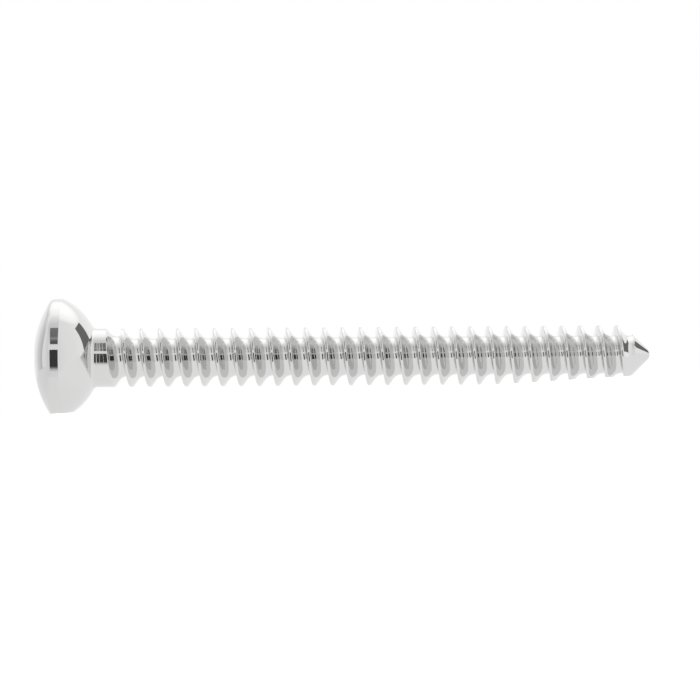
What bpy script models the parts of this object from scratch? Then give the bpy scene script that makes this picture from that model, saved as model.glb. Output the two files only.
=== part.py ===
"""Cortical bone screw with a round head, a hexagon socket and a shallow asymmetric thread.

The screw is made as the real one is, from one bar: a blank is turned, the thread's groove is
milled round it, the socket is sunk into its head, and the screw is laid down on its head's rim
and its thread. Lengths are in metres. Along means along the screw's axis, from the crown of the
head at 0 to the tip. Out means away from that axis.
"""
import math

import bmesh
import bpy
import numpy as np
from mathutils import Matrix

# Overall
LENGTH = 0.0202  # from the crown of the dome to the tip

# Head
HEAD_DIAMETER = 0.00391
DOME_HEIGHT = 0.000618  # from the rim up to the crown
RIM_WIDTH = 0.00037  # the straight band round the head, with its rounded edge
RIM_ROUNDING = 0.0002  # of the edge between the dome and the rim
UNDERSIDE_HEIGHT = 0.001004  # of the spherical seat, from the rim to the neck's diameter
NECK_FILLET = 0.00016

# Hexagon socket
SOCKET_ACROSS_FLATS = 0.0015
SOCKET_DEPTH = 0.001  # from the socket's mouth to its flat floor
COUNTERSINK_DIAMETER = 0.00164
COUNTERSINK_DEPTH = 0.00012
COUNTERSINK_HALF_ANGLE = math.radians(45.0)

# Thread
THREAD_DIAMETER = 0.00192
CORE_DIAMETER = 0.00123
PITCH = 0.0006
CREST_WIDTH = 0.00008
TIP_FLANK = math.radians(35.0)  # the sloped flank, which faces the tip
HEAD_FLANK = math.radians(3.0)  # the steep flank, which faces the head
TIP_FLANK_FILLET = 0.00033
HEAD_FLANK_FILLET = 0.0001
NECK_LAND = 0.00026  # plain neck between the fillet and the groove, along the upper side
RUN_OUT_START = math.radians(-160.0)  # where the groove begins, turned from the upper side
RUN_OUT_TURN = math.radians(230.0)  # how far round it goes to reach its full depth

# Tip
TIP_HALF_ANGLE = math.radians(45.0)
NOSE_RADIUS = 0.00025

# Facets
FACETS = 24  # flats round the screw
CROWN_STEPS = 4
RIM_STEPS = 2
UNDERSIDE_STEPS = 6
FILLET_STEPS = 2
NOSE_STEPS = 2
TIP_FLANK_FILLET_STEPS = 2
HEAD_FLANK_FILLET_STEPS = 2
CUTTER_MARGIN = 0.00004  # how far the cutters stand out of the blank
WELD = 1e-7

# Finish
STEEL_COLOUR = (0.74, 0.74, 0.75, 1.0)
STEEL_ROUGHNESS = 0.18
SHARP_EDGE = math.radians(30.0)

# Worked out from the sizes above
HEAD_R = HEAD_DIAMETER / 2
THREAD_R = THREAD_DIAMETER / 2
CORE_R = CORE_DIAMETER / 2
CROWN_RADIUS = (DOME_HEIGHT**2 + HEAD_R**2) / (2 * DOME_HEIGHT)
UNDERSIDE_BACK = (HEAD_R**2 - THREAD_R**2 - UNDERSIDE_HEIGHT**2) / (2 * UNDERSIDE_HEIGHT)
UNDERSIDE_RADIUS = math.hypot(UNDERSIDE_BACK, HEAD_R)
UNDERSIDE_CENTRE = DOME_HEIGHT + RIM_WIDTH - UNDERSIDE_BACK  # along, on the axis
GROOVE_DEPTH = THREAD_R - CORE_R
GROOVE_WIDTH = PITCH - CREST_WIDTH
FACET_ANGLE = math.tau / FACETS


def clear_scene():
    """Removes every object, so that the screw stands alone."""
    for thing in list(bpy.data.objects):
        bpy.data.objects.remove(thing, do_unlink=True)


def polished_steel():
    """Polished implant steel."""
    material = bpy.data.materials.new("polished_steel")
    material.use_nodes = True
    surface = material.node_tree.nodes["Principled BSDF"]
    surface.inputs["Base Color"].default_value = STEEL_COLOUR
    surface.inputs["Metallic"].default_value = 1.0
    surface.inputs["Roughness"].default_value = STEEL_ROUGHNESS
    return material


def arc(centre, radius, start, end, steps):
    """Points (along, out) of an arc from the angle start to the angle end, both included."""
    angles = np.linspace(start, end, steps + 1)
    return [(centre[0] + radius * math.cos(a), centre[1] + radius * math.sin(a)) for a in angles]


def crown_at(out):
    """How far along the dome lies, this far out from the axis."""
    return CROWN_RADIUS - math.sqrt(CROWN_RADIUS**2 - out**2)


def neck_start():
    """Where the fillet under the head meets the neck."""
    reach = (UNDERSIDE_RADIUS + NECK_FILLET) ** 2 - (THREAD_R + NECK_FILLET) ** 2
    return UNDERSIDE_CENTRE + math.sqrt(reach)


def crown_points():
    """The dome, from the axis outwards, then the rounding that touches both it and the rim."""
    out = HEAD_R - RIM_ROUNDING
    back = math.sqrt((CROWN_RADIUS - RIM_ROUNDING) ** 2 - out**2)
    edge = math.atan2(out, back)
    dome = arc((CROWN_RADIUS, 0.0), CROWN_RADIUS, math.pi, math.pi - edge, CROWN_STEPS)
    centre = (CROWN_RADIUS - back, out)
    rounding = arc(centre, RIM_ROUNDING, math.pi - edge, math.pi / 2, RIM_STEPS)
    return dome + rounding[1:]


def underside_points():
    """The spherical underside, then the fillet that touches both it and the neck."""
    start = math.atan2(HEAD_R, UNDERSIDE_BACK)
    end = math.asin((THREAD_R + NECK_FILLET) / (UNDERSIDE_RADIUS + NECK_FILLET))
    seat = arc((UNDERSIDE_CENTRE, 0.0), UNDERSIDE_RADIUS, start, end, UNDERSIDE_STEPS)
    centre = (neck_start(), THREAD_R + NECK_FILLET)
    fillet = arc(centre, NECK_FILLET, math.pi + end, 1.5 * math.pi, FILLET_STEPS)
    return seat + fillet[1:]


def tip_points():
    """The cone from the thread's outside, and the round nose that touches it."""
    centre = (LENGTH - NOSE_RADIUS, 0.0)
    nose = arc(centre, NOSE_RADIUS, math.pi / 2 - TIP_HALF_ANGLE, 0.0, NOSE_STEPS)
    along, out = nose[0]
    cone_start = along - (THREAD_R - out) / math.tan(TIP_HALF_ANGLE)
    return [(cone_start, THREAD_R)] + nose


def new_object(name, shape):
    """Object of a bmesh whose points are welded where they meet and whose faces point outwards."""
    bmesh.ops.remove_doubles(shape, verts=shape.verts, dist=WELD)
    bmesh.ops.recalc_face_normals(shape, faces=shape.faces)
    mesh = bpy.data.meshes.new(name)
    shape.to_mesh(mesh)
    shape.free()
    thing = bpy.data.objects.new(name, mesh)
    bpy.context.collection.objects.link(thing)
    return thing


def around(turn, along, out):
    """Point this far along and out, turned from the upper side towards -Y."""
    return (along, -out * math.sin(turn), out * math.cos(turn))


def make_blank():
    """Turned blank: head, plain shank and point. One flat of its facets faces down."""
    shape = bmesh.new()
    outline = crown_points() + underside_points() + tip_points()
    points = [shape.verts.new(around(FACET_ANGLE / 2, along, out)) for along, out in outline]
    for start, end in zip(points, points[1:]):
        shape.edges.new((start, end))
    bmesh.ops.spin(
        shape,
        geom=shape.verts[:] + shape.edges[:],
        cent=(0.0, 0.0, 0.0),
        axis=(1.0, 0.0, 0.0),
        angle=math.tau,
        steps=FACETS,
        use_merge=True,
    )
    return new_object("blank", shape)


def groove_outline():
    """Section of the groove as (along, out), counted from the crest edge on its head's side.

    The sloped flank comes first and ends in the larger fillet, which touches it and the smaller
    fillet. That one touches the core and the steep flank. In a groove wide enough to leave some
    of the core bare, the larger fillet touches the core instead.
    """
    large, small = TIP_FLANK_FILLET, HEAD_FLANK_FILLET
    small_along = GROOVE_WIDTH - GROOVE_DEPTH * math.tan(HEAD_FLANK)
    small_along -= small * math.tan(math.pi / 4 - HEAD_FLANK / 2)
    small_out = CORE_R + small
    large_along = GROOVE_DEPTH * math.tan(TIP_FLANK)
    large_along += large * math.tan(math.pi / 4 - TIP_FLANK / 2)
    large_out = CORE_R + large
    meeting = 1.5 * math.pi
    if large_along > small_along:
        # The centre slides down a line beside the sloped flank until the two arcs touch
        line_along = large * math.cos(TIP_FLANK)
        line_out = THREAD_R + large * math.sin(TIP_FLANK)
        apart_along, apart_out = line_along - small_along, line_out - small_out
        middle = apart_along * math.sin(TIP_FLANK) - apart_out * math.cos(TIP_FLANK)
        rest = apart_along**2 + apart_out**2 - (large - small) ** 2
        slide = -middle - math.sqrt(middle**2 - rest)
        large_along = line_along + slide * math.sin(TIP_FLANK)
        large_out = line_out - slide * math.cos(TIP_FLANK)
        meeting = math.tau + math.atan2(small_out - large_out, small_along - large_along)
    sloped = arc(
        (large_along, large_out), large, math.pi + TIP_FLANK, meeting, TIP_FLANK_FILLET_STEPS
    )
    steep = arc(
        (small_along, small_out), small, meeting, math.tau - HEAD_FLANK, HEAD_FLANK_FILLET_STEPS
    )
    top = THREAD_R + CUTTER_MARGIN
    mouth_start = (-CUTTER_MARGIN * math.tan(TIP_FLANK), top)
    mouth_end = (GROOVE_WIDTH + CUTTER_MARGIN * math.tan(HEAD_FLANK), top)
    return [mouth_start] + sloped + steep + [mouth_end]


def lift(turn):
    """How far the cutter stands out of its full depth at this turn from the upper side."""
    share = min(max((turn - RUN_OUT_START) / RUN_OUT_TURN, 0.0), 1.0)
    eased = share * share * (3.0 - 2.0 * share)
    return (GROOVE_DEPTH + CUTTER_MARGIN) * (1.0 - eased)


def groove_turns():
    """Turns from the upper side, one at each corner of the facets, until the cone is passed."""
    first = math.floor(RUN_OUT_START / FACET_ANGLE) + 0.5
    cone_start = tip_points()[0][0]
    last_along = cone_start + GROOVE_DEPTH / math.tan(TIP_HALF_ANGLE)
    last = math.ceil((last_along - neck_start() - NECK_LAND) / PITCH * FACETS)
    return [step * FACET_ANGLE for step in np.arange(first, last + 1.0)]


def make_groove_cutter():
    """The groove as a solid: its section carried along a right-hand helix and closed at its ends."""
    outline = groove_outline()
    shape = bmesh.new()
    rings = []
    for turn in groove_turns():
        start = neck_start() + NECK_LAND + PITCH * turn / math.tau
        raised = lift(turn)
        section = [around(turn, start + along, out + raised) for along, out in outline]
        rings.append([shape.verts.new(point) for point in section])
    for ring, following in zip(rings, rings[1:]):
        for a, b, c, d in zip(ring, ring[1:] + ring[:1], following[1:] + following[:1], following):
            shape.faces.new((a, b, c, d))
    shape.faces.new(rings[0])
    shape.faces.new(rings[-1])
    return new_object("groove_cutter", shape)


def make_turned_cutter(name, start, end, start_radius, end_radius, sides):
    """Prism or cone on the screw's axis, between two places along it."""
    shape = bmesh.new()
    lie_along = Matrix.Rotation(math.pi / 2, 4, "Y")
    bmesh.ops.create_cone(
        shape,
        cap_ends=True,
        segments=sides,
        radius1=start_radius,
        radius2=end_radius,
        depth=end - start,
        matrix=Matrix.Translation(((start + end) / 2, 0.0, 0.0)) @ lie_along,
    )
    return new_object(name, shape)


def make_socket_cutters():
    """Hexagon prism of the socket, and the countersink that breaks its edge."""
    mouth = crown_at(COUNTERSINK_DIAMETER / 2)
    corner = SOCKET_ACROSS_FLATS / math.sqrt(3.0)
    floor = mouth + SOCKET_DEPTH
    slope = math.tan(COUNTERSINK_HALF_ANGLE)
    wide = COUNTERSINK_DIAMETER / 2 + (mouth + CUTTER_MARGIN) * slope
    narrow = COUNTERSINK_DIAMETER / 2 - COUNTERSINK_DEPTH * slope
    bottom = mouth + COUNTERSINK_DEPTH
    return [
        make_turned_cutter("socket_cutter", -CUTTER_MARGIN, floor, corner, corner, 6),
        make_turned_cutter("countersink_cutter", -CUTTER_MARGIN, bottom, wide, narrow, FACETS),
    ]


def cut_out(blank, cutters):
    """The screw: the blank with the cutters' shapes taken out of it for good."""
    for cutter in cutters:
        boolean = blank.modifiers.new(cutter.name, "BOOLEAN")
        boolean.operation = "DIFFERENCE"
        boolean.solver = "EXACT"
        boolean.object = cutter
    finished = blank.evaluated_get(bpy.context.evaluated_depsgraph_get())
    shape = bmesh.new()
    shape.from_mesh(finished.data)
    bmesh.ops.remove_doubles(shape, verts=shape.verts, dist=WELD)
    halfway = [point for point in shape.verts if len(point.link_edges) == 2]
    bmesh.ops.dissolve_verts(shape, verts=halfway)
    for used in [blank] + cutters:
        bpy.data.objects.remove(used, do_unlink=True)
    return new_object("bone_screw", shape)


def lay_down(screw):
    """Tips the screw until its head and its thread touch the floor, and centres it over its place."""
    points = np.array([point.co for point in screw.data.vertices])
    head = points[points[:, 0] < neck_start()]
    lowest = head[head[:, 2] < head[:, 2].min() + WELD]
    heel = lowest[lowest[:, 0].argmax()]
    shank = points[points[:, 0] > neck_start()]
    slopes = (shank[:, 2] - heel[2]) / (shank[:, 0] - heel[0])
    screw.rotation_euler = (0.0, math.atan(slopes.min()), 0.0)
    laid = points @ np.array(screw.rotation_euler.to_matrix()).T
    low, high = laid.min(axis=0), laid.max(axis=0)
    screw.location = (-(low[0] + high[0]) / 2, -(low[1] + high[1]) / 2, -low[2])


def main():
    clear_scene()
    screw = cut_out(make_blank(), [make_groove_cutter()] + make_socket_cutters())
    screw.data.materials.append(polished_steel())
    screw.data.shade_smooth()
    screw.data.set_sharp_from_angle(angle=SHARP_EDGE)
    lay_down(screw)


main()
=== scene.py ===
"""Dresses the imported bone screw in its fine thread, its finish and its studio.

The screw is one closed surface worked out with numpy. Along means along its own axis, from the
crown of the head at 0 to the tip. Out means away from that axis. Turn is the angle round the
axis from the upper side, and the right-hand thread moves towards the tip as the turn grows.
"""
import math

import bpy
import numpy as np
from bpy.props import FloatProperty, FloatVectorProperty, IntProperty, PointerProperty
from mathutils import Matrix, Vector


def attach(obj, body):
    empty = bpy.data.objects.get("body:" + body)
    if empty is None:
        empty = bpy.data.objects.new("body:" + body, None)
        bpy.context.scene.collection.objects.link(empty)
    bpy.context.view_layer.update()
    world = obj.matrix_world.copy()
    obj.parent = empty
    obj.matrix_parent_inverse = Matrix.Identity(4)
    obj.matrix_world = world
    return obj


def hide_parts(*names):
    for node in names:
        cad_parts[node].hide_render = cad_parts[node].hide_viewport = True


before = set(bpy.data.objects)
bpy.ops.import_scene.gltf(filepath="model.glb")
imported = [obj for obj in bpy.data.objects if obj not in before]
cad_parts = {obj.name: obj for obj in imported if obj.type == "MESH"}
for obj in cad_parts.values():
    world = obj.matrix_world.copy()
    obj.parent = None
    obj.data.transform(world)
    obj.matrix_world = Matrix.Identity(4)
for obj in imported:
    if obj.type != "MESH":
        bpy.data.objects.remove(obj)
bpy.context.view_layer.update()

bl_info = {
    "name": "Bone screw dressing",
    "version": (1, 0, 0),
    "blender": (4, 5, 0),
    "location": "3D View > Sidebar > Bone screw",
    "description": "Fine thread, polished steel and a studio for the bone screw",
    "category": "Object",
}

CAD_NODE = "bone_screw"
IMAGE_WIDTH = 700  # pixels, of a square picture
SENSOR_WIDTH = 36.0  # millimetres, of Blender's camera

# The mesh, in metres and in parts of the stretch that the rings divide
ON_LIMIT = 1e-8  # a vertex nearer to a limit than this lies on it
ROW_GAP = 0.000002  # least distance between rows where the thread starts at the neck
CUTTER_MARGIN = 0.00004  # how far the groove's cutter starts outside the bar
BARE_MARGIN = 0.00001  # from the place where the cone has cut the groove away
NOSE_MARGIN = 0.00002  # from the thread's last row to the round nose
FLOOR_RINGS = (0.3, 0.65, 0.96, 1.0)
WALL_RINGS = (0.03, 0.35, 0.7, 1.0)
DOME_RINGS = np.linspace(0.0, 1.0, 13)
RIM_RINGS = (0.35, 0.7, 0.97)
SEAT_RING = 0.08  # one more ring beside the seat's edge, which keeps its shading crisp
SHARP_EDGE = math.radians(30.0)

# The tool marks
MARKS = "tool_marks"  # UV map in millimetres: round the screw, and across its outline
MARK_STRETCH = 0.05  # changes of a mark to a millimetre round the screw
MARK_HEIGHT = 0.000016  # of the highest mark
NECK_LINES = 2.6  # how much closer they are on the neck
MARK_RANGE = 0.012  # their depth is given from this X before the middle to this X after it
# X where they change: head up to the first, neck to the third, thread to the fifth, then the cone
MARK_PLACES = (-0.0081, -0.00795, -0.00765, -0.0075, 0.0088, 0.0091)

# The table, and its mirror image in the steel
TABLE_COLOUR = (0.96, 0.96, 0.96, 1.0)
TABLE_REACH = 2.0  # metres to each side of the screw
TOP_GLOW, FRONT_GLOW = 0.2, 1.0  # how much they give off before the camera
PAINTED_SHADE_SPAN = (-0.013, -0.007)  # X between which the mirror image grows from its painted shade to its full shade
PAINTED_SHADE_SHARE = 0.88  # part of that shade beyond the head: a painted shade in place of a soft shadow there

# Curved cards before the screw, in degrees: their two sides as azimuths, and their shades by
# elevation
CARDS = {
    "tent_front": (-36.0, 33.0, (
        (12.0, 0.84), (16.0, 0.9), (24.0, 0.9), (28.0, 0.82), (44.0, 0.79), (56.0, 0.73),
        (66.0, 0.76), (74.0, 0.88), (82.0, 1.0), (94.0, 1.25),
    )),
    "lens_front": (-14.0, 9.0, (
        (-28.0, 0.8), (-24.0, 0.57), (-20.0, 0.16), (-17.5, 0.05), (14.0, 0.05),
    )),
    "dark_slot": (-10.0, 4.0, (
        (24.5, 0.13), (28.0, 0.1), (32.0, 0.15), (36.0, 0.33), (40.0, 0.18), (58.0, 0.21),
    )),
}
CARD_ROWS = 33
INNER_CARDS = 0.9  # distance of the dark cards, in parts of the tent's

# Flat cards beside the screw: a corner, the side along the table, the height, and the shades at
# the corner and at the other end
SIDE_CARDS = {
    "dark_right": ((0.324, 0.235, 0.049), (0.069, -0.159, 0.0), 0.23, (0.17, 0.17)),
    "grey_left": ((-0.224, 0.332, 0.0), (-0.102, -0.1, 0.0), 0.28, (0.94, 0.56)),
}

LAMP_SHARE = 0.6  # width and depth of the lamp, in parts of the softbox's mirrored face
FACE_OUTER = 0.8  # shade of the face near its rim, in parts of its full shade
# Places on the face, from its rim at 0 to its middle at 1
FACE_FADE = 0.2  # where it is no longer see-through
FACE_FULL = 0.6  # where it has its full shade

# Shades of the tent round it all, from its dark side at -1 to its bright side at 1
TENT_SHADES = (
    (-1.0, 0.8), (-0.8, 0.84), (-0.6, 0.9), (-0.1, 0.9), (0.15, 0.96), (0.45, 0.98), (0.75, 1.04),
    (1.0, 1.08),
)
BRIGHT_SIDE = (0.6, 0.8, 0.0)


# Sizes


def length(name, default, description):
    """Property for a length in metres."""
    return FloatProperty(
        name=name, description=description, default=default, min=0.0, precision=6, unit="LENGTH"
    )


def angle(name, default, description):
    """Property for an angle, written in degrees."""
    return FloatProperty(
        name=name, description=description, default=math.radians(default), unit="ROTATION"
    )


class HeadSizes(bpy.types.PropertyGroup):
    """Sizes of the head and its socket."""

    diameter: length("Head diameter", 0.00391, "Diameter of the rim")
    dome: length("Dome height", 0.000618, "From the rim's corner up to the crown")
    rim: length("Rim width", 0.00037, "Straight band round the head, with its rounded edge")
    rim_rounding: length("Rim rounding", 0.0002, "Of the edge between the dome and the rim")
    underside: length("Underside height", 0.001004, "Of the spherical seat, down to the neck")
    neck_fillet: length("Neck fillet", 0.00016, "Between the seat and the neck")
    socket_flats: length("Socket across flats", 0.0015, "Hexagon socket, across its flats")
    socket_depth: length("Socket depth", 0.001, "From the socket's mouth to its floor")
    countersink: length("Countersink diameter", 0.00164, "At the socket's mouth")
    edge_break: length("Edge break", 0.00002, "Smallest chamfer at the socket's mouth")


class ThreadSizes(bpy.types.PropertyGroup):
    """Sizes of the shank, its thread and its tip."""

    total: length("Length", 0.0202, "From the crown to the tip")
    diameter: length("Thread diameter", 0.00192, "Outside diameter")
    core: length("Core diameter", 0.00123, "At the bottom of the groove")
    pitch: length("Pitch", 0.0006, "From one crest to the next")
    crest: length("Crest width", 0.00008, "Land on top of the thread")
    crest_rounding: length("Crest rounding", 0.00003, "Of the crest's two polished edges")
    tip_flank: angle("Sloped flank", 35.0, "Flank that faces the tip")
    head_flank: angle("Steep flank", 3.0, "Flank that faces the head")
    tip_fillet: length("Large fillet", 0.00033, "Between the sloped flank and the core")
    head_fillet: length("Small fillet", 0.0001, "Between the core and the steep flank")
    land: length("Neck land", 0.00026, "Plain neck before the groove, on the upper side")
    run_out_start: angle("Groove start", -160.0, "Turn at which the groove begins")
    run_out_turn: angle("Groove run-in", 230.0, "Turn in which it reaches its full depth")
    tip_angle: angle("Cone half angle", 45.0, "Of the tip")
    nose: length("Nose radius", 0.00025, "Rounding at the end of the tip")
    columns: IntProperty(
        name="Columns", description="Steps of the surface in one turn", default=120, min=24
    )


class SteelFinish(bpy.types.PropertyGroup):
    """Finish of the polished steel."""

    colour: FloatVectorProperty(
        name="Steel colour",
        description="Reflection of the bare steel",
        subtype="COLOR",
        size=3,
        default=(0.718, 0.7225, 0.715),
        min=0.0,
        max=1.0,
    )
    roughness: FloatProperty(
        name="Roughness", description="Of the polish", default=0.04, min=0.0, max=1.0
    )
    mark_roughness: FloatProperty(
        name="Mark roughness", description="Of the highest tool marks", default=0.12, max=1.0
    )
    end_marks: FloatProperty(
        name="End marks", description="Part of the neck's marks on head and cone", default=0.015
    )
    thread_marks: FloatProperty(
        name="Thread marks", description="Part of the neck's marks on the thread", default=0.19
    )
    mark_lines: FloatProperty(
        name="Mark lines", description="Tool marks to a millimetre", default=8.0, min=0.0
    )
    mark_depth: FloatProperty(
        name="Mark depth", description="Strength of the neck's marks", default=0.66, min=0.0
    )


class StudioSettings(bpy.types.PropertyGroup):
    """Camera and light."""

    focal_pixels: FloatProperty(
        name="Focal length", description="In pixels of the picture", default=3350.0
    )
    distance: length("Distance", 0.1099, "From the camera to the screw")
    aim_along: length("Aim along X", 0.00027, "Where the middle of the picture falls")
    aim_height: length("Aim height", 0.001636, "Height of the middle of the picture")
    drop: length("Drop", 0.0045, "How far the camera is below the table's top")
    swing: angle("Swing", 0.84, "How far the camera is turned towards the tip")
    roll: angle("Roll", 3.51, "How far the picture is turned")
    table_edge: length("Table edge", 0.00415, "From the screw's axis to the front of the table")
    table_slant: angle("Table slant", 5.0, "How far its front turns away from the screw at the tip")
    table_shade: FloatProperty(
        name="Table shade", description="Of its mirror image in the steel, 1 is white", default=0.96
    )
    card_distance: length("Card distance", 0.25, "Radius of the curved cards")
    softbox_width: length("Softbox width", 0.8, "Along the screw")
    softbox_depth: length("Softbox depth", 0.64, "Across it")
    softbox_right: length("Softbox right", 0.12, "How far its middle is towards the tip")
    softbox_back: length("Softbox back", 0.24, "How far its middle is behind the screw")
    softbox_height: length("Softbox height", 0.4, "Above the table")
    softbox_shade: FloatProperty(
        name="Softbox shade", description="Brightness of its face, 1 is white", default=1.38
    )


# Outlines, each an array of (along, out)


def arc(centre, radius, start, end, steps):
    """Circular arc: the centre plus the radius times cosine and sine, the angle in even steps."""
    turn = np.linspace(start, end, steps + 1)
    return np.stack([centre[0] + radius * np.cos(turn), centre[1] + radius * np.sin(turn)], 1)


def crown_radius(head):
    """Radius of the dome, from its height and the rim's radius: (h^2 + r^2) / 2h."""
    rim = head.diameter / 2
    return (head.dome**2 + rim**2) / (2 * head.dome)


def crown_at(head, out):
    """How far along the dome lies, this far out: its radius less the cosine leg."""
    radius = crown_radius(head)
    return radius - np.sqrt(radius**2 - out**2)


def seat_circle(head, thread):
    """Centre and radius of the underside, the circle through the rim's end and the neck's line."""
    rim, neck, height = head.diameter / 2, thread.diameter / 2, head.underside
    back = (rim**2 - neck**2 - height**2) / (2 * height)
    return head.dome + head.rim - back, math.hypot(back, rim), math.atan2(rim, back)


def neck_start(head, thread):
    """Where the fillet under the head meets the neck."""
    centre, radius, _ = seat_circle(head, thread)
    reach = (radius + head.neck_fillet) ** 2 - (thread.diameter / 2 + head.neck_fillet) ** 2
    return centre + math.sqrt(reach)


def rim_outline(head):
    """Rounding between the dome and the rim: an arc that touches the dome's circle and the rim."""
    radius, out = crown_radius(head), head.diameter / 2 - head.rim_rounding
    back = math.sqrt((radius - head.rim_rounding) ** 2 - out**2)
    edge = math.atan2(out, back)
    return arc((radius - back, out), head.rim_rounding, math.pi - edge, math.pi / 2, steps=8)


def underside_outline(head, thread):
    """From the rim's end: the spherical seat, and the fillet that touches seat and neck."""
    centre, radius, start = seat_circle(head, thread)
    out, rounding = thread.diameter / 2 + head.neck_fillet, head.neck_fillet
    end = math.asin(out / (radius + rounding))
    seat = arc((centre, 0.0), radius, start, end, steps=26)
    corner = (neck_start(head, thread), out)
    fillet = arc(corner, rounding, math.pi + end, 1.5 * math.pi, steps=8)
    return np.concatenate([seat, fillet[1:]])


def groove_outline(thread):
    """Section of the thread over one pitch, from the middle of a crest to the middle of the next.

    The sloped flank ends in the larger fillet, whose centre slides beside the flank until it
    touches the smaller one from outside. That one touches the core and the steep flank. Both
    crest edges are small arcs of the same radius that touch the crest and the flanks.
    """
    large, small, edge = thread.tip_fillet, thread.head_fillet, thread.crest_rounding
    slope, steep = thread.tip_flank, thread.head_flank
    top, core = thread.diameter / 2, thread.core / 2
    width = thread.pitch - thread.crest
    small_along = width - (top - core) * math.tan(steep) - small * math.tan(math.pi / 4 - steep / 2)
    small_out = core + small
    line_along, line_out = large * math.cos(slope), top + large * math.sin(slope)
    apart_along, apart_out = line_along - small_along, line_out - small_out
    middle = apart_along * math.sin(slope) - apart_out * math.cos(slope)
    rest = apart_along**2 + apart_out**2 - (large - small) ** 2
    slide = -middle - math.sqrt(middle**2 - rest)
    large_along = line_along + slide * math.sin(slope)
    large_out = line_out - slide * math.cos(slope)
    meeting = math.tau + math.atan2(small_out - large_out, small_along - large_along)
    reach_slope = edge * math.tan(math.pi / 4 - slope / 2)
    reach_steep = edge * math.tan(math.pi / 4 - steep / 2)
    near = arc((-reach_slope, top - edge), edge, math.pi / 2, slope, steps=3)
    far = arc((width + reach_steep, top - edge), edge, math.pi - steep, math.pi / 2, steps=3)
    sloped = arc((large_along, large_out), large, math.pi + slope, meeting, steps=6)
    small_arc = arc((small_along, small_out), small, meeting, math.tau - steep, steps=5)
    half = thread.crest / 2
    start, end = [[-half, top]], [[thread.pitch - half, top]]
    halfway = [(near[-1] + sloped[0]) / 2]
    return np.concatenate([start, near, halfway, sloped, small_arc[1:], far, end])


def tip_places(thread):
    """Where the cone starts, and where it touches the nose: (along, out) of each."""
    out = thread.nose * math.cos(thread.tip_angle)
    along = thread.total - thread.nose + thread.nose * math.sin(thread.tip_angle)
    start = along - (thread.diameter / 2 - out) / math.tan(thread.tip_angle)
    return (start, thread.diameter / 2), (along, out)


# The screw's surface


def snap_edges(along, out, limit):
    """Moves the vertex nearest to each place where the section crosses a limit onto that place.

    In each column, the difference between section and limit changes sign between two vertices.
    The crossing divides their distance in the ratio of the two differences.
    """
    over = out - limit(along)
    apart = np.abs(over) > ON_LIMIT
    crosses = apart[:, :-1] & apart[:, 1:]
    crosses &= np.sign(over[:, :-1]) != np.sign(over[:, 1:])
    column, place = np.nonzero(crosses)
    share = over[column, place] / (over[column, place] - over[column, place + 1])
    at = along[column, place] + share * (along[column, place + 1] - along[column, place])
    nearest = place + (share > 0.5)
    along[column, nearest] = at
    out[column, nearest] = limit(at)
    return along, np.minimum(out, limit(along))


def thread_surface(head, thread):
    """Helical grid: turn by column, and one pitch of the section by row.

    along = start + pitch * turn / 2 pi + the section's along, never before the neck, and out = the
    section's out, raised by a smooth step while the groove runs in, never more than the blank's
    cylinder and cone. Rows past the groove's end are drawn together on the cone.
    """
    step = math.tau / thread.columns
    section = groove_outline(thread)
    neck = neck_start(head, thread)
    base = neck + thread.land
    cone_start, cone_end = tip_places(thread)
    depth = (thread.diameter - thread.core) / 2
    bare = cone_start[0] + depth / math.tan(thread.tip_angle) + BARE_MARGIN
    first = math.floor(thread.run_out_start / step)
    last = math.ceil((bare - base + thread.crest / 2) / thread.pitch * thread.columns)
    turn = np.arange(first, last + 1) * step
    share = np.clip((turn - thread.run_out_start) / thread.run_out_turn, 0.0, 1.0)
    raised = (depth + CUTTER_MARGIN) * (1.0 - share * share * (3.0 - 2.0 * share))
    along = base + thread.pitch * turn[:, None] / math.tau + section[None, :, 0]
    along = np.maximum(along, neck + ROW_GAP * (1.0 + np.arange(len(section))))
    out = section[None, :, 1] + raised[:, None]
    top = thread.diameter / 2
    along, out = snap_edges(along, out, lambda place: np.full_like(place, top))

    def cone(place):
        return top - np.maximum(place - cone_start[0], -top) * math.tan(thread.tip_angle)

    along, out = snap_edges(along, out, cone)
    squeeze = (cone_end[0] - NOSE_MARGIN - bare) / (along.max() - bare)
    on_cone = along > bare
    along[on_cone] = bare + (along[on_cone] - bare) * squeeze
    out[on_cone] = cone(along[on_cone])
    return turn, along, out


def head_rings(head, thread, turn):
    """The head as rings of (along, out) by column, from the socket's floor to the neck.

    The hexagon is half its width across flats, over the cosine of the turn from the nearest flat.
    """
    flat = head.socket_flats / 2
    hexagon = flat / np.cos((turn + math.pi / 6) % (math.pi / 3) - math.pi / 6)
    mouth_out = np.maximum(head.countersink / 2, hexagon + head.edge_break)
    floor = crown_at(head, head.countersink / 2) + head.socket_depth
    wall_top = crown_at(head, mouth_out) + (mouth_out - hexagon)
    rings = [(np.full_like(turn, floor), hexagon * share) for share in FLOOR_RINGS]
    rings += [(floor + (wall_top - floor) * share, hexagon) for share in WALL_RINGS]
    rim = rim_outline(head)
    for share in DOME_RINGS:
        out = mouth_out + (rim[0, 1] - mouth_out) * share
        rings.append((crown_at(head, out), out))
    under = underside_outline(head, thread)
    band = [rim[-1] + (under[0] - rim[-1]) * share for share in RIM_RINGS]
    beside = under[0] + (under[1] - under[0]) * SEAT_RING
    for place in [*rim[1:], *band, under[0], beside, *under[1:]]:
        rings.append((np.full_like(turn, place[0]), np.full_like(turn, place[1])))
    return rings


def tip_rings(thread, turn):
    """The cone's end and the round nose, as rings of (along, out) by column."""
    _, cone_end = tip_places(thread)
    centre = (thread.total - thread.nose, 0.0)
    nose = arc(centre, thread.nose, math.pi / 2 - thread.tip_angle, 0.0, steps=8)
    nose[0] = cone_end
    return [(np.full_like(turn, along), np.full_like(turn, out)) for along, out in nose[:-1]]


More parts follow.
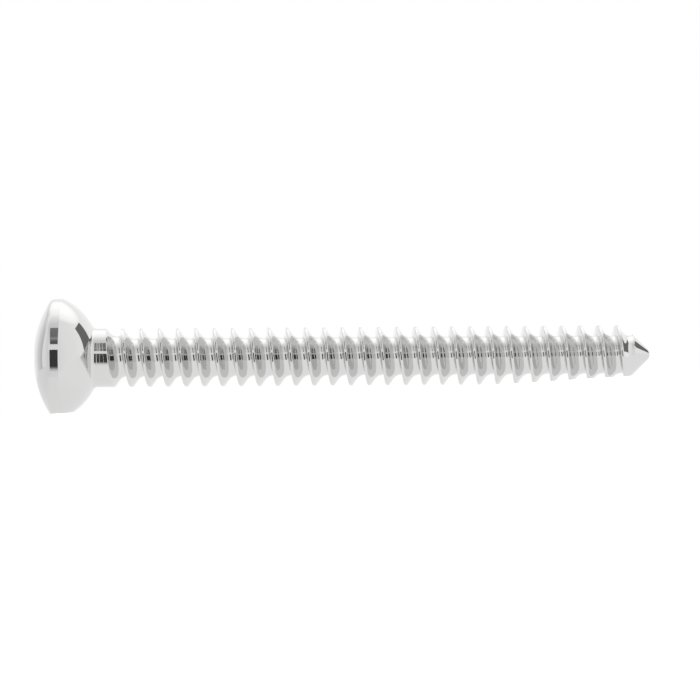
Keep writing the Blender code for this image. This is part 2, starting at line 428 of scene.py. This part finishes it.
def around(turn, along, out):
    """Points in space: along the axis, and out from it at the turn, from the upper side to -Y."""
    return np.stack([along, -out * np.sin(turn), out * np.cos(turn)], -1)


def ring_faces(rings, columns):
    """Quads between successive rings of vertices, closed round the axis."""
    number = np.arange(rings * columns).reshape(rings, columns)
    a, b = number[:-1], np.roll(number[:-1], -1, 1)
    c, d = np.roll(number[1:], -1, 1), number[1:]
    return np.stack([a, b, c, d], -1).reshape(-1, 4)


def quad_places(across, turns, radius):
    """Places of the quads' corners in the map: turn times radius, and distance across."""
    u, v = np.meshgrid(turns * radius, across, indexing="ij")
    places = np.stack([u, v], -1)
    corners = [places[:-1, :-1], places[1:, :-1], places[1:, 1:], places[:-1, 1:]]
    return np.stack(corners, -2) * 1000.0


def distance_along(along, out):
    """Running length of an outline, from its points."""
    steps = np.hypot(np.diff(along), np.diff(out))
    return np.concatenate([[0.0], np.cumsum(steps)])


def ring_places(rings, turn, start):
    """Map places of the quads between rings, ring by ring, and where the outline ends."""
    across = start + distance_along(
        np.array([along[0] for along, _ in rings]), np.array([out[0] for _, out in rings])
    )
    radius = max(out[0] for _, out in rings)
    turns = np.append(turn, turn[-1] + turn[1] - turn[0])
    places = quad_places(across, turns, radius)
    return places.transpose(1, 0, 2, 3).reshape(-1, 4, 2), across[-1]


def mark_places(thread, heads, tips, turn):
    """Map of the tool marks for the quads of head, thread, neck, cone and tip, in that order."""
    columns, radius = thread.columns, thread.diameter / 2
    section = groove_outline(thread)
    head_places, neck = ring_places(heads, turn[:columns], 0.0)
    across = neck + distance_along(section[:, 0], section[:, 1])
    neck_rows = np.array([neck, neck + thread.land * NECK_LINES])
    cone_rows = across[-1] + np.array([0.0, thread.land])
    grids = [(across, turn), (neck_rows, turn[:columns]), (cone_rows, turn[-columns:])]
    tip_map, _ = ring_places(tips, turn[-columns:], cone_rows[-1])
    middle = [quad_places(rows, turns, radius).reshape(-1, 4, 2) for rows, turns in grids]
    return np.concatenate([head_places, *middle, tip_map])


def screw_mesh(head, thread):
    """The whole screw as one closed mesh: head rings, helical grid, tip rings and two poles.

    The last row of a column of the grid is the first row of the column one turn on. Where the
    helix starts and where it ends, its whole section closes the ring of quads as one face. The
    map of the tool marks comes with it, with nothing for the triangles and for those two faces.
    """
    columns = thread.columns
    turn, along, out = thread_surface(head, thread)
    grid = around(turn[:, None], along, out)
    steps, rows = grid.shape[0], grid.shape[1] - 1
    first_turn, last_turn = turn[:columns], turn[steps - columns:]
    heads, tips = head_rings(head, thread, first_turn), tip_rings(thread, last_turn)
    head_points = np.concatenate([around(first_turn, a, o) for a, o in heads])
    tip_points = np.concatenate([around(last_turn, a, o) for a, o in tips])
    poles = [[heads[0][0][0], 0.0, 0.0], [thread.total, 0.0, 0.0]]
    body, edge = grid[:, :-1].reshape(-1, 3), grid[steps - columns:, -1]
    points = np.concatenate([head_points, body, edge, tip_points, poles])

    body_start = len(head_points)
    edge_start = body_start + len(body)
    tip_start = edge_start + len(edge)
    floor_pole = tip_start + len(tip_points)
    number = np.empty((steps, rows + 1), int)
    number[:, :-1] = body_start + np.arange(steps * rows).reshape(steps, rows)
    number[: steps - columns, -1] = number[columns:, 0]
    number[steps - columns:, -1] = edge_start + np.arange(columns)
    quads = np.stack([number[:-1, :-1], number[1:, :-1], number[1:, 1:], number[:-1, 1:]], -1)

    ring = body_start - columns + np.arange(columns)
    start = number[:columns, 0]
    finish = number[steps - columns:, -1]
    tip_ring = tip_start + np.arange(columns)
    neck = np.stack([ring[:-1], ring[1:], start[1:], start[:-1]], -1)
    end = np.stack([finish[:-1], finish[1:], tip_ring[1:], tip_ring[:-1]], -1)
    tip_quads = ring_faces(len(tips), columns) + tip_start
    blocks = [ring_faces(len(heads), columns), quads.reshape(-1, 4), neck, end, tip_quads]

    fan = np.arange(columns)
    floor_fan = np.stack([np.full(columns, floor_pole), np.roll(fan, -1), fan], -1)
    last = floor_pole - columns + fan
    nose_fan = np.stack([np.full(columns, floor_pole + 1), last, np.roll(last, -1)], -1)
    faces = [face for block in blocks + [floor_fan, nose_fan] for face in block.tolist()]
    faces.append([ring[-1], ring[0], *number[0], start[-1]])
    faces.append([finish[-1], *number[-1, -2::-1], finish[0], tip_ring[0], tip_ring[-1]])
    marks = np.zeros((sum(len(face) for face in faces), 2))
    places = mark_places(thread, heads, tips, turn).reshape(-1, 2)
    marks[: len(places)] = places
    return points, faces, marks


def lay_down(points, head, thread):
    """Tips the screw until its rim and its thread touch the floor, and centres it.

    The heel is the lowest and hindmost point of the rim. The smallest slope from it to a point
    of the shank is the tangent of the tilt, and the turn about Y brings both to one height.
    """
    shank = points[points[:, 0] > neck_start(head, thread)]
    heel_along, heel_height = head.dome + head.rim, -head.diameter / 2
    slope = ((shank[:, 2] - heel_height) / (shank[:, 0] - heel_along)).min()
    laid = points @ np.array(Matrix.Rotation(math.atan(slope), 3, "Y")).T
    low, high = laid.min(axis=0), laid.max(axis=0)
    return laid - [(low[0] + high[0]) / 2, (low[1] + high[1]) / 2, low[2]]


# Finish


def add_node(tree, kind, **settings):
    """New node of this kind, with its properties set."""
    node = tree.nodes.new(kind)
    for name, value in settings.items():
        setattr(node, name, value)
    return node


def mark_height(tree, finish):
    """Height of the tool marks: noise drawn out round the screw, times a depth along X."""
    marks = add_node(tree, "ShaderNodeUVMap", uv_map=MARKS)
    stretch = add_node(tree, "ShaderNodeMapping")
    stretch.inputs["Scale"].default_value = (MARK_STRETCH, finish.mark_lines, 1.0)
    lines = add_node(tree, "ShaderNodeTexNoise", noise_dimensions="2D")
    lines.inputs["Scale"].default_value = 1.0
    lines.inputs["Detail"].default_value = 1.0
    place = add_node(tree, "ShaderNodeTexCoord")
    split = add_node(tree, "ShaderNodeSeparateXYZ")
    along = add_node(tree, "ShaderNodeMapRange")
    along.inputs["From Min"].default_value = -MARK_RANGE
    along.inputs["From Max"].default_value = MARK_RANGE
    depth = add_node(tree, "ShaderNodeValToRGB")
    faint, thread = finish.end_marks, finish.thread_marks
    stops = zip(MARK_PLACES, (faint, 1.0, 1.0, thread, thread, faint))
    fill_ramp(depth, list(stops), -MARK_RANGE, MARK_RANGE)
    height = add_node(tree, "ShaderNodeMath", operation="MULTIPLY")
    links = tree.links
    links.new(marks.outputs["UV"], stretch.inputs["Vector"])
    links.new(stretch.outputs["Vector"], lines.inputs["Vector"])
    links.new(place.outputs["Object"], split.inputs["Vector"])
    links.new(split.outputs["X"], along.inputs["Value"])
    links.new(along.outputs["Result"], depth.inputs["Fac"])
    links.new(lines.outputs["Fac"], height.inputs[0])
    links.new(depth.outputs["Color"], height.inputs[1])
    return height


def polished_steel(finish):
    """Polished steel with tool marks round the screw, and a haze that is their height's."""
    material = bpy.data.materials.new("polished_steel_dressed")
    material.use_nodes = True
    tree = material.node_tree
    surface = tree.nodes["Principled BSDF"]
    surface.inputs["Base Color"].default_value = (*finish.colour, 1.0)
    surface.inputs["Metallic"].default_value = 1.0
    height = mark_height(tree, finish)
    bump = add_node(tree, "ShaderNodeBump")
    bump.inputs["Strength"].default_value = finish.mark_depth
    bump.inputs["Distance"].default_value = MARK_HEIGHT
    haze = add_node(tree, "ShaderNodeMapRange")
    haze.inputs["To Min"].default_value = finish.roughness
    haze.inputs["To Max"].default_value = finish.mark_roughness
    tree.links.new(height.outputs["Value"], bump.inputs["Height"])
    tree.links.new(bump.outputs["Normal"], surface.inputs["Normal"])
    tree.links.new(height.outputs["Value"], haze.inputs["Value"])
    tree.links.new(haze.outputs["Result"], surface.inputs["Roughness"])
    return material


def new_piece(name, points, faces, material):
    """Mesh object at the origin, of these points and faces."""
    mesh = bpy.data.meshes.new(name)
    mesh.from_pydata(points.tolist(), [], faces)
    mesh.update()
    mesh.materials.append(material)
    piece = bpy.data.objects.new(name, mesh)
    bpy.context.scene.collection.objects.link(piece)
    return piece


class SCREW_OT_build(bpy.types.Operator):
    """Builds the finely threaded screw in place of the plain solid."""

    bl_idname = "bone_screw.build"
    bl_label = "Build screw"

    def execute(self, context):
        head, thread = context.scene.screw_head, context.scene.screw_thread
        points, faces, marks = screw_mesh(head, thread)
        material = polished_steel(context.scene.screw_finish)
        piece = new_piece("screw_surface", lay_down(points, head, thread), faces, material)
        uv_map = piece.data.uv_layers.new(name=MARKS)
        uv_map.data.foreach_set("uv", marks.ravel())
        piece.data.shade_smooth()
        piece.data.set_sharp_from_angle(angle=SHARP_EDGE)
        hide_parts(CAD_NODE)
        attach(piece, "root")
        return {"FINISHED"}


# Studio


def white_glow(name, strength):
    """Material that gives off white of this strength alone, whatever light falls on it."""
    material = bpy.data.materials.new(name)
    material.use_nodes = True
    tree = material.node_tree
    tree.nodes.clear()
    glow = add_node(tree, "ShaderNodeEmission")
    glow.inputs["Strength"].default_value = strength
    output = add_node(tree, "ShaderNodeOutputMaterial")
    tree.links.new(glow.outputs["Emission"], output.inputs["Surface"])
    return material


def shade_along_x(tree, glow, places, shades):
    """Makes an emission run from one shade to another between two places along X."""
    place = add_node(tree, "ShaderNodeTexCoord")
    split = add_node(tree, "ShaderNodeSeparateXYZ")
    shade = add_node(tree, "ShaderNodeMapRange")
    shade.inputs["From Min"].default_value, shade.inputs["From Max"].default_value = places
    shade.inputs["To Min"].default_value, shade.inputs["To Max"].default_value = shades
    tree.links.new(place.outputs["Object"], split.inputs["Vector"])
    tree.links.new(split.outputs["X"], shade.inputs["Value"])
    tree.links.new(shade.outputs["Result"], glow.inputs["Strength"])


def table_material(name, studio, glow):
    """Matt white table that keeps a soft shadow, with its own shade in the steel's reflections.

    The glow lifts what the camera sees of it, so that only the shadow is darker than white. Its
    mirror image is a little darker beyond the head: a painted shade in place of a soft shadow.
    """
    material = bpy.data.materials.new(name)
    material.use_nodes = True
    tree = material.node_tree
    surface = tree.nodes["Principled BSDF"]
    surface.inputs["Base Color"].default_value = TABLE_COLOUR
    surface.inputs["Roughness"].default_value = 1.0
    surface.inputs["Specular IOR Level"].default_value = 0.0
    surface.inputs["Emission Color"].default_value = (1.0, 1.0, 1.0, 1.0)
    surface.inputs["Emission Strength"].default_value = glow
    mirrored = add_node(tree, "ShaderNodeEmission")
    # painted shade: the mirror image is darker beyond the head, in place of a soft shadow there
    shades = (studio.table_shade * PAINTED_SHADE_SHARE, studio.table_shade)
    shade_along_x(tree, mirrored, PAINTED_SHADE_SPAN, shades)
    path = add_node(tree, "ShaderNodeLightPath")
    mix = add_node(tree, "ShaderNodeMixShader")
    tree.links.new(path.outputs["Is Glossy Ray"], mix.inputs["Fac"])
    tree.links.new(surface.outputs["BSDF"], mix.inputs[1])
    tree.links.new(mirrored.outputs["Emission"], mix.inputs[2])
    tree.links.new(mix.outputs["Shader"], tree.nodes["Material Output"].inputs["Surface"])
    return material


def sheet(name, corner, along, up, material):
    """Flat sheet from a corner and its two sides."""
    corner, along, up = np.array(corner), np.array(along), np.array(up)
    points = np.array([corner, corner + along, corner + along + up, corner + up])
    piece = new_piece(name, points, [[0, 1, 2, 3]], material)
    return piece


def set_table(studio):
    """The table's top and its front, whose upper edge runs before the screw at a slant."""
    top = table_material("table_top", studio, TOP_GLOW)
    front = table_material("table_front", studio, FRONT_GLOW)
    slant = TABLE_REACH * math.tan(studio.table_slant)
    left, edge = -TABLE_REACH, slant - studio.table_edge
    along, back = (2.0 * TABLE_REACH, -2.0 * slant, 0.0), (0.0, 2.0 * TABLE_REACH, 0.0)
    sheet("table", (left, edge, 0.0), along, back, top)
    sheet("table_side", (left, edge, -TABLE_REACH / 2), along, (0.0, 0.0, TABLE_REACH / 2), front)


def seen_in_steel_only(piece):
    """Hides a card from all but the reflections."""
    piece.visible_camera = False
    piece.visible_diffuse = False
    piece.visible_shadow = False


def place_camera(studio):
    """Camera below the table's top that looks along +Y and up, swung to the tip and rolled."""
    rise = math.asin((studio.aim_height + studio.drop) / studio.distance)
    level = Vector((-math.sin(studio.swing), math.cos(studio.swing), 0.0))
    right = Vector((math.cos(studio.swing), math.sin(studio.swing), 0.0))
    upright = Vector((0.0, 0.0, 1.0))
    ahead = level * math.cos(rise) + upright * math.sin(rise)
    up = upright * math.cos(rise) - level * math.sin(rise)
    aim = Vector((studio.aim_along, 0.0, studio.aim_height))
    picture_right = right * math.cos(studio.roll) - up * math.sin(studio.roll)
    picture_up = right * math.sin(studio.roll) + up * math.cos(studio.roll)
    turn = Matrix((picture_right, picture_up, -ahead)).transposed().to_4x4()
    data = bpy.data.cameras.new("camera")
    data.lens = SENSOR_WIDTH * studio.focal_pixels / IMAGE_WIDTH
    data.sensor_width = SENSOR_WIDTH
    data.clip_start = 0.001
    data.clip_end = 10.0
    camera = bpy.data.objects.new("camera", data)
    camera.matrix_world = Matrix.Translation(aim - ahead * studio.distance) @ turn
    bpy.context.scene.collection.objects.link(camera)
    bpy.context.scene.camera = camera


def fill_ramp(node, stops, low, high):
    """Sets a colour ramp's greys, from pairs of place and shade between low and high."""
    ramp = node.color_ramp
    while len(ramp.elements) < len(stops):
        ramp.elements.new(1.0)
    for element, (place, shade) in zip(ramp.elements, stops):
        element.position = (place - low) / (high - low)
        element.color = (shade, shade, shade, 1.0)


def curved_card(name, left, right, shades, radius):
    """Card before the screw that only reflections show, with one shade by elevation.

    It is a strip of a cylinder about X: y = -r cos e and z = r sin e, for an elevation e, and its
    sides are at x = r tan a, for the azimuths a.
    """
    low, high = shades[0][0], shades[-1][0]
    elevation = np.radians(np.linspace(low, high, CARD_ROWS))
    side = radius * np.tan(np.radians([left, right]))
    height, across = np.meshgrid(elevation, side, indexing="ij")
    points = np.stack([across, -radius * np.cos(height), radius * np.sin(height)], -1)
    number = np.arange(height.size).reshape(-1, 2)
    quads = np.stack([number[:-1, 0], number[:-1, 1], number[1:, 1], number[1:, 0]], -1)
    material = white_glow(f"{name}_shades", 1.0)
    tree = material.node_tree
    place = add_node(tree, "ShaderNodeUVMap", uv_map="elevation")
    split = add_node(tree, "ShaderNodeSeparateXYZ")
    ramp = add_node(tree, "ShaderNodeValToRGB")
    fill_ramp(ramp, shades, low, high)
    tree.links.new(place.outputs["UV"], split.inputs["Vector"])
    tree.links.new(split.outputs["Y"], ramp.inputs["Fac"])
    tree.links.new(ramp.outputs["Color"], tree.nodes["Emission"].inputs["Color"])
    piece = new_piece(name, points.reshape(-1, 3), quads.reshape(-1, 4).tolist(), material)
    share = (np.degrees(height) - low) / (high - low)
    places = np.stack([np.zeros_like(share), share], -1).reshape(-1, 2)
    corners = np.empty(len(piece.data.loops), int)
    piece.data.loops.foreach_get("vertex_index", corners)
    uv_map = piece.data.uv_layers.new(name="elevation")
    uv_map.data.foreach_set("uv", places[corners].ravel())
    seen_in_steel_only(piece)


def side_card(name, corner, along, height, shades):
    """Flat upright card beside the screw that only reflections show, shaded from end to end."""
    material = white_glow(f"{name}_shades", shades[0])
    if shades[1] != shades[0]:
        tree = material.node_tree
        shade_along_x(tree, tree.nodes["Emission"], (corner[0], corner[0] + along[0]), shades)
    seen_in_steel_only(sheet(name, corner, along, (0.0, 0.0, height), material))


def set_world():
    """White to the camera, and for the rest a soft tent with one bright side, behind and above."""
    world = bpy.data.worlds.new("studio")
    bpy.context.scene.world = world
    world.use_nodes = True
    tree = world.node_tree
    place = add_node(tree, "ShaderNodeTexCoord")
    side = add_node(tree, "ShaderNodeVectorMath", operation="DOT_PRODUCT")
    side.inputs[1].default_value = BRIGHT_SIDE
    share = add_node(tree, "ShaderNodeMapRange")
    share.inputs["From Min"].default_value = -1.0
    shades = add_node(tree, "ShaderNodeValToRGB")
    fill_ramp(shades, TENT_SHADES, -1.0, 1.0)
    path = add_node(tree, "ShaderNodeLightPath")
    mix = add_node(tree, "ShaderNodeMix", data_type="RGBA")
    mix.inputs["B"].default_value = (1.0, 1.0, 1.0, 1.0)
    links = tree.links
    links.new(place.outputs["Generated"], side.inputs[0])
    links.new(side.outputs["Value"], share.inputs["Value"])
    links.new(share.outputs["Result"], shades.inputs["Fac"])
    links.new(shades.outputs["Color"], mix.inputs["A"])
    links.new(path.outputs["Is Camera Ray"], mix.inputs["Factor"])
    links.new(mix.outputs["Result"], tree.nodes["Background"].inputs["Color"])


def softbox_face(studio):
    """What the steel mirrors of the softbox: brightest in the middle, faded out at its rim.

    The fade is a sphere gradient, 1 in the middle and 0 on the ellipse that touches the sides.
    """
    right, back, height = studio.softbox_right, studio.softbox_back, studio.softbox_height
    width, depth = studio.softbox_width, studio.softbox_depth
    material = white_glow("softbox_face", studio.softbox_shade)
    tree = material.node_tree
    place = add_node(tree, "ShaderNodeTexCoord")
    shrink = add_node(tree, "ShaderNodeMapping", vector_type="TEXTURE")
    shrink.inputs["Location"].default_value = (right, back, height)
    shrink.inputs["Scale"].default_value = (width / 2, depth / 2, 1.0)
    fade = add_node(tree, "ShaderNodeTexGradient", gradient_type="SPHERICAL")
    shade = add_node(tree, "ShaderNodeMapRange")
    shade.inputs["From Max"].default_value = FACE_FULL
    shade.inputs["To Min"].default_value = studio.softbox_shade * FACE_OUTER
    shade.inputs["To Max"].default_value = studio.softbox_shade
    cover = add_node(tree, "ShaderNodeMapRange")
    cover.inputs["From Max"].default_value = FACE_FADE
    clear = add_node(tree, "ShaderNodeBsdfTransparent")
    mix = add_node(tree, "ShaderNodeMixShader")
    links = tree.links
    links.new(place.outputs["Object"], shrink.inputs["Vector"])
    links.new(shrink.outputs["Vector"], fade.inputs["Vector"])
    links.new(fade.outputs["Fac"], shade.inputs["Value"])
    links.new(fade.outputs["Fac"], cover.inputs["Value"])
    links.new(shade.outputs["Result"], tree.nodes["Emission"].inputs["Strength"])
    links.new(cover.outputs["Result"], mix.inputs["Fac"])
    links.new(clear.outputs["BSDF"], mix.inputs[1])
    links.new(tree.nodes["Emission"].outputs["Emission"], mix.inputs[2])
    links.new(mix.outputs["Shader"], tree.nodes["Material Output"].inputs["Surface"])
    corner = (right - width / 2, back - depth / 2, height)
    along, across = (width, 0.0, 0.0), (0.0, depth, 0.0)
    seen_in_steel_only(sheet("softbox_face", corner, along, across, material))


def set_softbox(studio):
    """Soft lamp above, behind and to the right of the screw, which faces straight down."""
    lamp = bpy.data.lights.new("softbox", "AREA")
    lamp.shape = "RECTANGLE"
    lamp.size = studio.softbox_width * LAMP_SHARE
    lamp.size_y = studio.softbox_depth * LAMP_SHARE
    lamp.energy = studio.softbox_shade * math.pi * lamp.size * lamp.size_y
    light = bpy.data.objects.new("softbox", lamp)
    light.location = (studio.softbox_right, studio.softbox_back, studio.softbox_height)
    light.visible_glossy = False
    bpy.context.scene.collection.objects.link(light)
    softbox_face(studio)


class SCREW_OT_stage(bpy.types.Operator):
    """Sets the table, the cards, the light and the camera."""

    bl_idname = "bone_screw.stage"
    bl_label = "Set the stage"

    def execute(self, context):
        studio = context.scene.screw_studio
        set_table(studio)
        for name, (left, right, shades) in CARDS.items():
            radius = studio.card_distance * (1.0 if name == "tent_front" else INNER_CARDS)
            curved_card(name, left, right, shades, radius)
        for name, card in SIDE_CARDS.items():
            side_card(name, *card)
        set_world()
        set_softbox(studio)
        place_camera(studio)
        context.scene.view_settings.view_transform = "Standard"
        return {"FINISHED"}


class SCREW_PT_panel(bpy.types.Panel):
    """Lists the screw's sizes, its finish and the studio."""

    bl_label = "Bone screw"
    bl_space_type = "VIEW_3D"
    bl_region_type = "UI"
    bl_category = "Bone screw"

    def draw(self, context):
        for group in GROUPS:
            box = self.layout.box()
            for name in GROUPS[group].__annotations__:
                box.prop(getattr(context.scene, group), name)
        self.layout.operator(SCREW_OT_build.bl_idname)
        self.layout.operator(SCREW_OT_stage.bl_idname)


GROUPS = {
    "screw_head": HeadSizes,
    "screw_thread": ThreadSizes,
    "screw_finish": SteelFinish,
    "screw_studio": StudioSettings,
}
CLASSES = [*GROUPS.values(), SCREW_OT_build, SCREW_OT_stage, SCREW_PT_panel]


def register():
    """Registers the classes and gives the scene their settings."""
    for kind in CLASSES:
        bpy.utils.register_class(kind)
    for name, group in GROUPS.items():
        setattr(bpy.types.Scene, name, PointerProperty(type=group))


def unregister():
    """Takes the settings and the classes away again."""
    for name in GROUPS:
        delattr(bpy.types.Scene, name)
    for kind in reversed(CLASSES):
        bpy.utils.unregister_class(kind)


def main():
    """Builds the screw and its studio."""
    register()
    bpy.ops.bone_screw.build()
    bpy.ops.bone_screw.stage()


if __name__ == "__main__":
    main()
